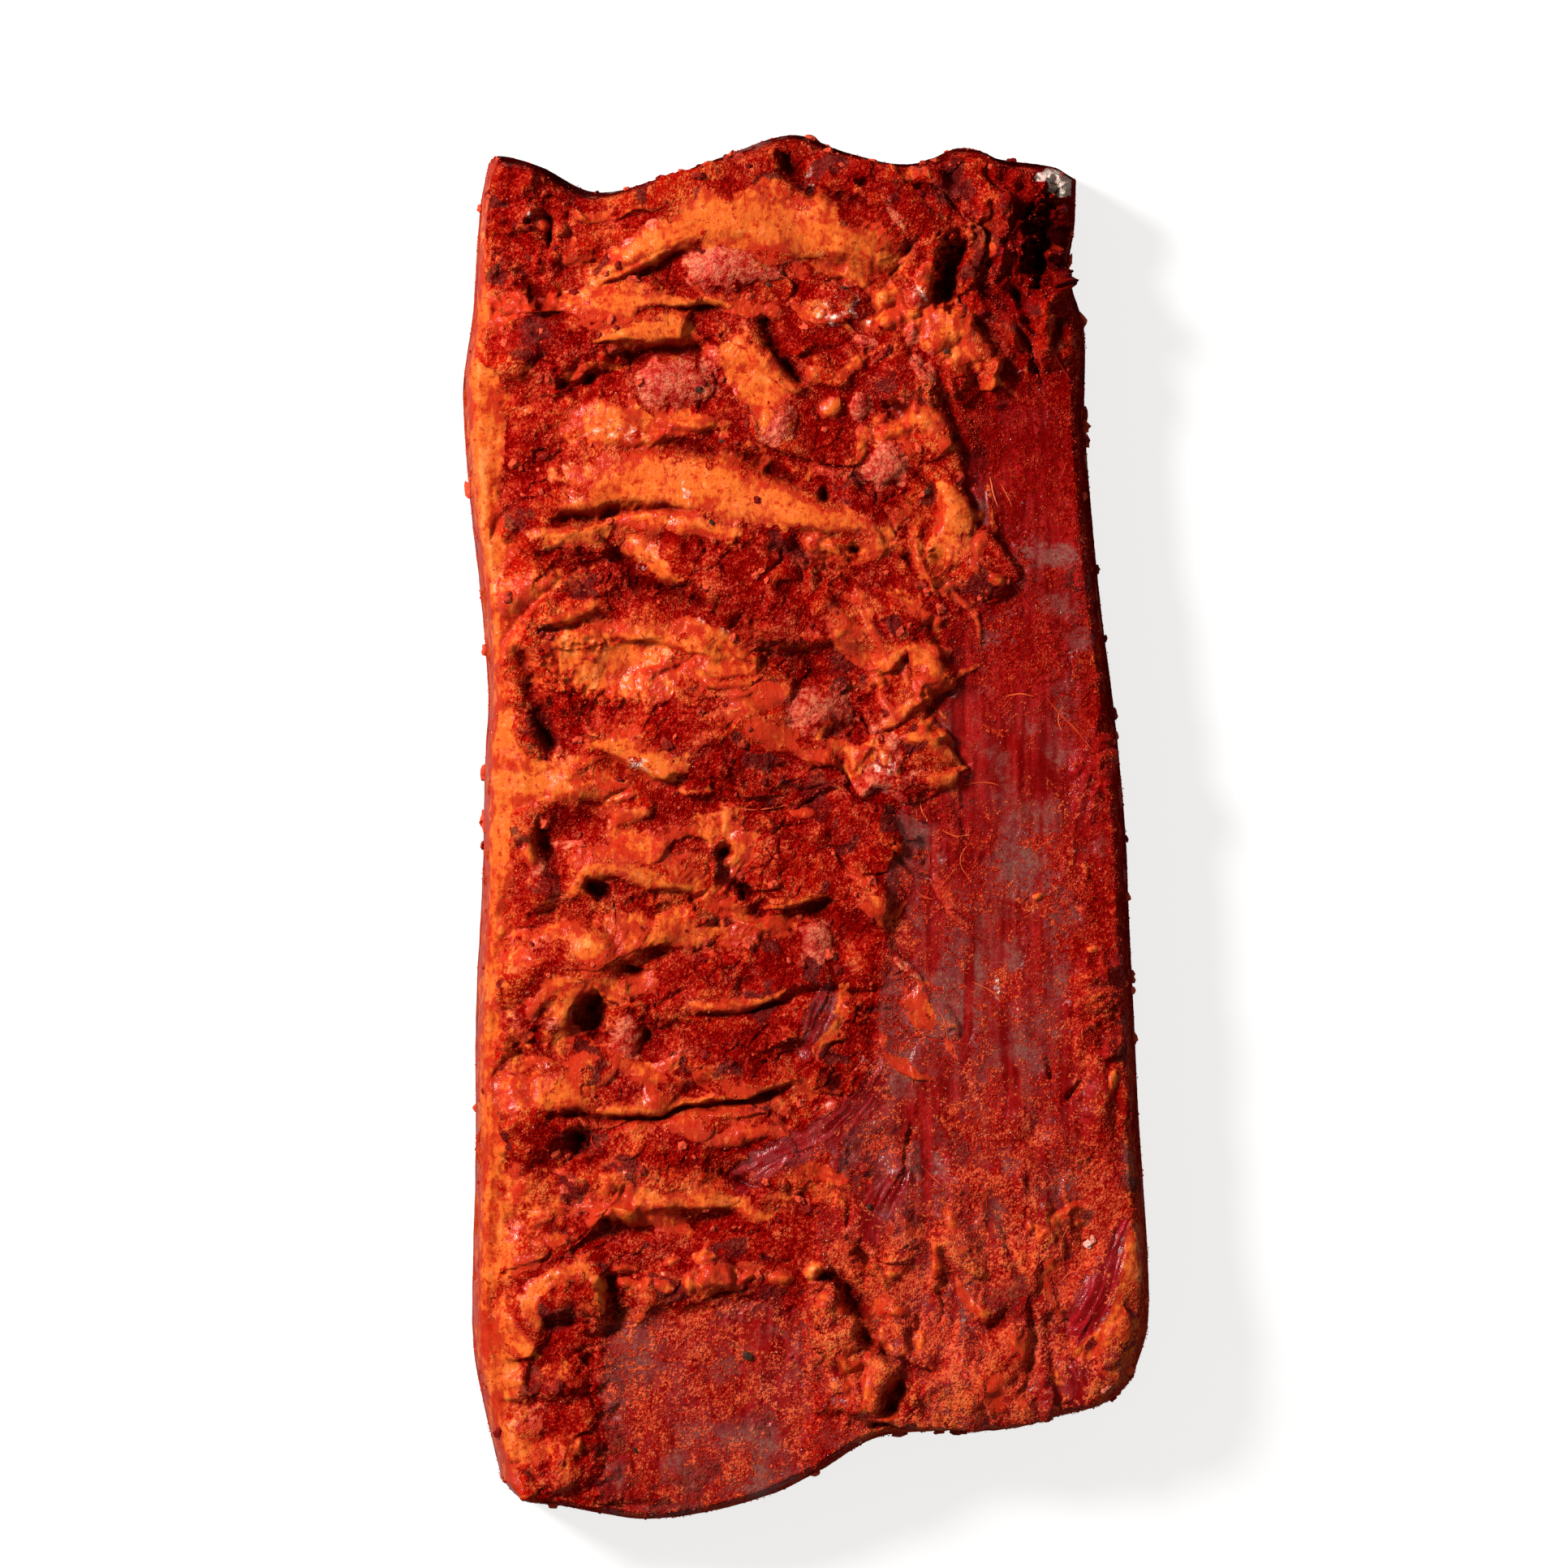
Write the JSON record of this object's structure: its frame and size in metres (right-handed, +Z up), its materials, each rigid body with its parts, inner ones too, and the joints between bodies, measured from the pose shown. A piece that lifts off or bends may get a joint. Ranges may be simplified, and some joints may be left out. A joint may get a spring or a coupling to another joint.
{
  "type": "marinated pork belly",
  "caption": "Whole boneless slab of pork belly in a red spice marinade, rind down, with fat folded over the rib marks, a bare flank a step lower and rounded, flaring sides.",
  "frame": {"origin": "middle of the box around the slab, on the flat rind face that it rests on", "axes": "+Z up from the rind to the rib side, +Y along the slab towards its torn back end, +X from the fat margin to the bare flank"},
  "size_m": [0.2192, 0.4416, 0.0455],
  "materials": {
    "marinated_meat": "moist red meat and orange fat under a granular paprika rub, satin with small glossy highlights"
  },
  "bodies": {
    "root": {"pork_belly": "marinated_meat"}
  },
  "joints": []
}
